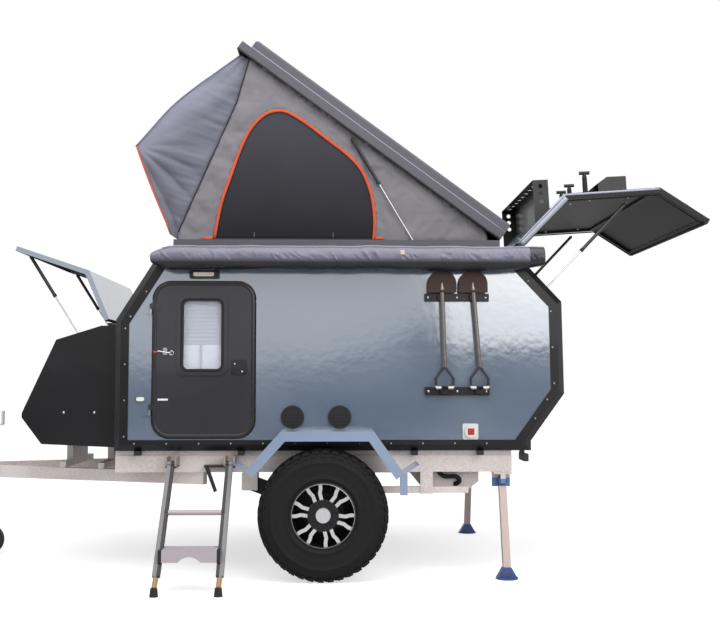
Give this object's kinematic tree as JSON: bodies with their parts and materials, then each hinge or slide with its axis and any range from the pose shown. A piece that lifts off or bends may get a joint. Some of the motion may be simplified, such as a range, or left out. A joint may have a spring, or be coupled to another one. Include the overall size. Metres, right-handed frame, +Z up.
{
  "type": "teardrop trailer with roof tent",
  "caption": "Off-road teardrop trailer parked with its roof tent raised and its front and rear lids open, on two wheels, two legs and a jockey wheel.",
  "frame": {"origin": "on the ground below the middle of the whole parked trailer, legs and drawbar included", "axes": "+X to the rear (away from the coupling), +Y to the trailer's right-hand side, +Z up"},
  "size_m": [5.3489, 2.5424, 3.4768],
  "materials": {
    "panel_paint": "gloss grey-blue paint",
    "black_satin": "satin black powder coat",
    "interior_board": "light laminate board",
    "mattress_cloth": "grey woven cover",
    "window_glass": "grey tint",
    "black_plastic": "fine grain",
    "lamp_lens": "clear over cream",
    "awning_pvc": "dark grey coated cloth",
    "shovel_steel": "bronze-brown enamel",
    "galvanised": "hot-dip galvanised",
    "tyre_rubber": "black rubber",
    "alloy": "machined face over black",
    "leg_blue": "blue paint and zinc",
    "ladder_alloy": "natural anodised",
    "shell_grey": "dark grey shell",
    "tent_canvas": "grey poly-cotton canvas",
    "hood_canvas": "blue-grey canvas",
    "strut_black": "gloss black tube",
    "strut_chrome": "polished rod",
    "tank_plastic": "natural polythene"
  },
  "bodies": {
    "trailer": {"side_wall_left": "panel_paint", "side_wall_right": "panel_paint", "corner_trim_left": "black_satin", "corner_trim_right": "black_satin", "front_wall": "panel_paint", "roof_panel": "panel_paint", "floor_panel": "black_plastic", "bulkhead": "interior_board", "galley": "interior_board", "mattress": "mattress_cloth", "body_hinges": "black_satin", "wall_fittings": "black_plastic", "body_lamps": "lamp_lens", "awning_bag": "awning_pvc", "side_racks": "black_satin", "shovels": "shovel_steel", "chassis_rails": "galvanised", "chassis_crossmembers": "galvanised", "drawbar_beams": "galvanised", "coupling_head": "black_satin", "jockey_sleeve": "galvanised", "suspension_arms": "black_satin", "underframe_brackets": "galvanised", "coil_springs": "strut_black", "brake_drums": "black_satin", "fenders": "panel_paint", "tank_guard": "galvanised", "water_tank": "tank_plastic", "leg_heads": "galvanised", "ladder_lugs": "black_satin", "nose_box": "black_satin", "nose_bearers": "galvanised", "tent_base": "shell_grey", "tent_cloth": "tent_canvas", "tent_hood": "hood_canvas"},
    "wheel_left": {"tyre_left": "tyre_rubber", "rim_left": "alloy"},
    "wheel_right": {"tyre_right": "tyre_rubber", "rim_right": "alloy"},
    "door_left": {"door_left": "black_satin", "door_glass_left": "window_glass"},
    "door_right": {"door_right": "black_satin", "door_glass_right": "window_glass"},
    "nose_lid": {"nose_lid": "panel_paint"},
    "nose_strut_tubes": {"nose_strut_tubes": "strut_black"},
    "nose_strut_rods": {"nose_strut_rods": "strut_chrome"},
    "hatch": {"hatch": "panel_paint", "hatch_rack": "black_satin", "hatch_carrier": "black_satin"},
    "hatch_strut_tubes": {"hatch_strut_tubes": "strut_black"},
    "hatch_strut_rods": {"hatch_strut_rods": "strut_chrome"},
    "tent_lid": {"tent_lid": "shell_grey"},
    "tent_strut_tubes": {"tent_strut_tubes": "strut_black"},
    "tent_strut_rods": {"tent_strut_rods": "strut_chrome"},
    "leg_left": {"leg_left": "leg_blue"},
    "leg_right": {"leg_right": "leg_blue"},
    "ladder": {"ladder": "ladder_alloy"},
    "jockey_leg": {"jockey_leg": "galvanised"},
    "jockey_fork": {"jockey_fork": "galvanised"},
    "jockey_wheel": {"jockey_wheel": "tyre_rubber"}
  },
  "joints": [
    {"name": "wheel_left_spin", "type": "hinge", "parent": "trailer", "child": "wheel_left", "pos_m": [0.167, -0.7915, 0.403], "axis": [0, 1, 0], "continuous": true},
    {"name": "wheel_right_spin", "type": "hinge", "parent": "trailer", "child": "wheel_right", "pos_m": [0.167, 1.1355, 0.403], "axis": [0, 1, 0], "continuous": true},
    {"name": "door_left_swing", "type": "hinge", "parent": "trailer", "child": "door_left", "pos_m": [-0.934, -0.67, 1.36], "axis": [0, 0, -1], "range_deg": [0, 95]},
    {"name": "door_right_swing", "type": "hinge", "parent": "trailer", "child": "door_right", "pos_m": [-0.934, 1.014, 1.36], "axis": [0, 0, 1], "range_deg": [0, 95]},
    {"name": "nose_lid_hinge", "type": "hinge", "parent": "trailer", "child": "nose_lid", "pos_m": [-1.258, 0.172, 1.604], "axis": [0, -1, 0], "range_deg": [0, 84.5]},
    {"name": "hatch_hinge", "type": "hinge", "parent": "trailer", "child": "hatch", "pos_m": [1.412, 0.172, 2.086], "axis": [0, 1, 0], "range_deg": [0, 93]},
    {"name": "tent_lid_hinge", "type": "hinge", "parent": "trailer", "child": "tent_lid", "pos_m": [1.308, 0.172, 2.136], "axis": [0, -1, 0], "range_deg": [0, 36.3], "deforming": ["tent_cloth", "tent_hood"]},
    {"name": "leg_left_fold", "type": "hinge", "parent": "trailer", "child": "leg_left", "pos_m": [1.306, -0.618, 0.59], "axis": [0, 1, 0], "range_deg": [0, 85]},
    {"name": "leg_right_fold", "type": "hinge", "parent": "trailer", "child": "leg_right", "pos_m": [1.306, 0.962, 0.59], "axis": [0, 1, 0], "range_deg": [0, 85]},
    {"name": "ladder_lift", "type": "hinge", "parent": "trailer", "child": "ladder", "pos_m": [-0.6055, -0.706, 0.7], "axis": [-1, 0, 0], "range_deg": [0, 50]},
    {"name": "jockey_lift", "type": "slide", "parent": "trailer", "child": "jockey_leg", "axis": [0, 0, 1], "range_m": [0, 0.15]},
    {"name": "jockey_swivel", "type": "hinge", "parent": "jockey_leg", "child": "jockey_fork", "pos_m": [-2.253, 0.172, 0.25], "axis": [0, 0, 1], "continuous": true},
    {"name": "jockey_wheel_spin", "type": "hinge", "parent": "jockey_fork", "child": "jockey_wheel", "pos_m": [-2.208, 0.172, 0.105], "axis": [0, 1, 0], "continuous": true},
    {"name": "tent_strut_hinge", "type": "hinge", "parent": "tent_lid", "child": "tent_strut_tubes", "pos_m": [0.348, 0.172, 2.825], "axis": [0, -1, 0], "range_deg": [0, 23.73]},
    {"name": "tent_strut_slide", "type": "slide", "parent": "tent_strut_tubes", "child": "tent_strut_rods", "axis": [-0.5085, 0, 0.861], "range_m": [0, 0.1805]},
    {"name": "nose_strut_hinge", "type": "hinge", "parent": "nose_lid", "child": "nose_strut_tubes", "pos_m": [-1.7735, 0.172, 2.0436], "axis": [0, -1, 0], "range_deg": [0, 21.51]},
    {"name": "nose_strut_slide", "type": "slide", "parent": "nose_strut_tubes", "child": "nose_strut_rods", "axis": [-0.5329, 0, 0.8462], "range_m": [0, 0.1812]},
    {"name": "hatch_strut_hinge", "type": "hinge", "parent": "hatch", "child": "hatch_strut_tubes", "pos_m": [2.142, 0.172, 2.385], "axis": [0, 1, 0], "range_deg": [0, 30.45]},
    {"name": "hatch_strut_slide", "type": "slide", "parent": "hatch_strut_tubes", "child": "hatch_strut_rods", "axis": [0.6889, 0, 0.7248], "range_m": [0, 0.3855]}
  ],
  "couplings": [
    {"joint": "tent_strut_hinge", "follows": "tent_lid_hinge", "ratio": 0.63992},
    {"joint": "tent_strut_slide", "follows": "tent_lid_hinge", "m_per_rad": 0.2818},
    {"joint": "nose_strut_hinge", "follows": "nose_lid_hinge", "ratio": 0.24866},
    {"joint": "nose_strut_slide", "follows": "nose_lid_hinge", "m_per_rad": 0.12154},
    {"joint": "hatch_strut_hinge", "follows": "hatch_hinge", "ratio": 0.32201},
    {"joint": "hatch_strut_slide", "follows": "hatch_hinge", "m_per_rad": 0.23628}
  ]
}
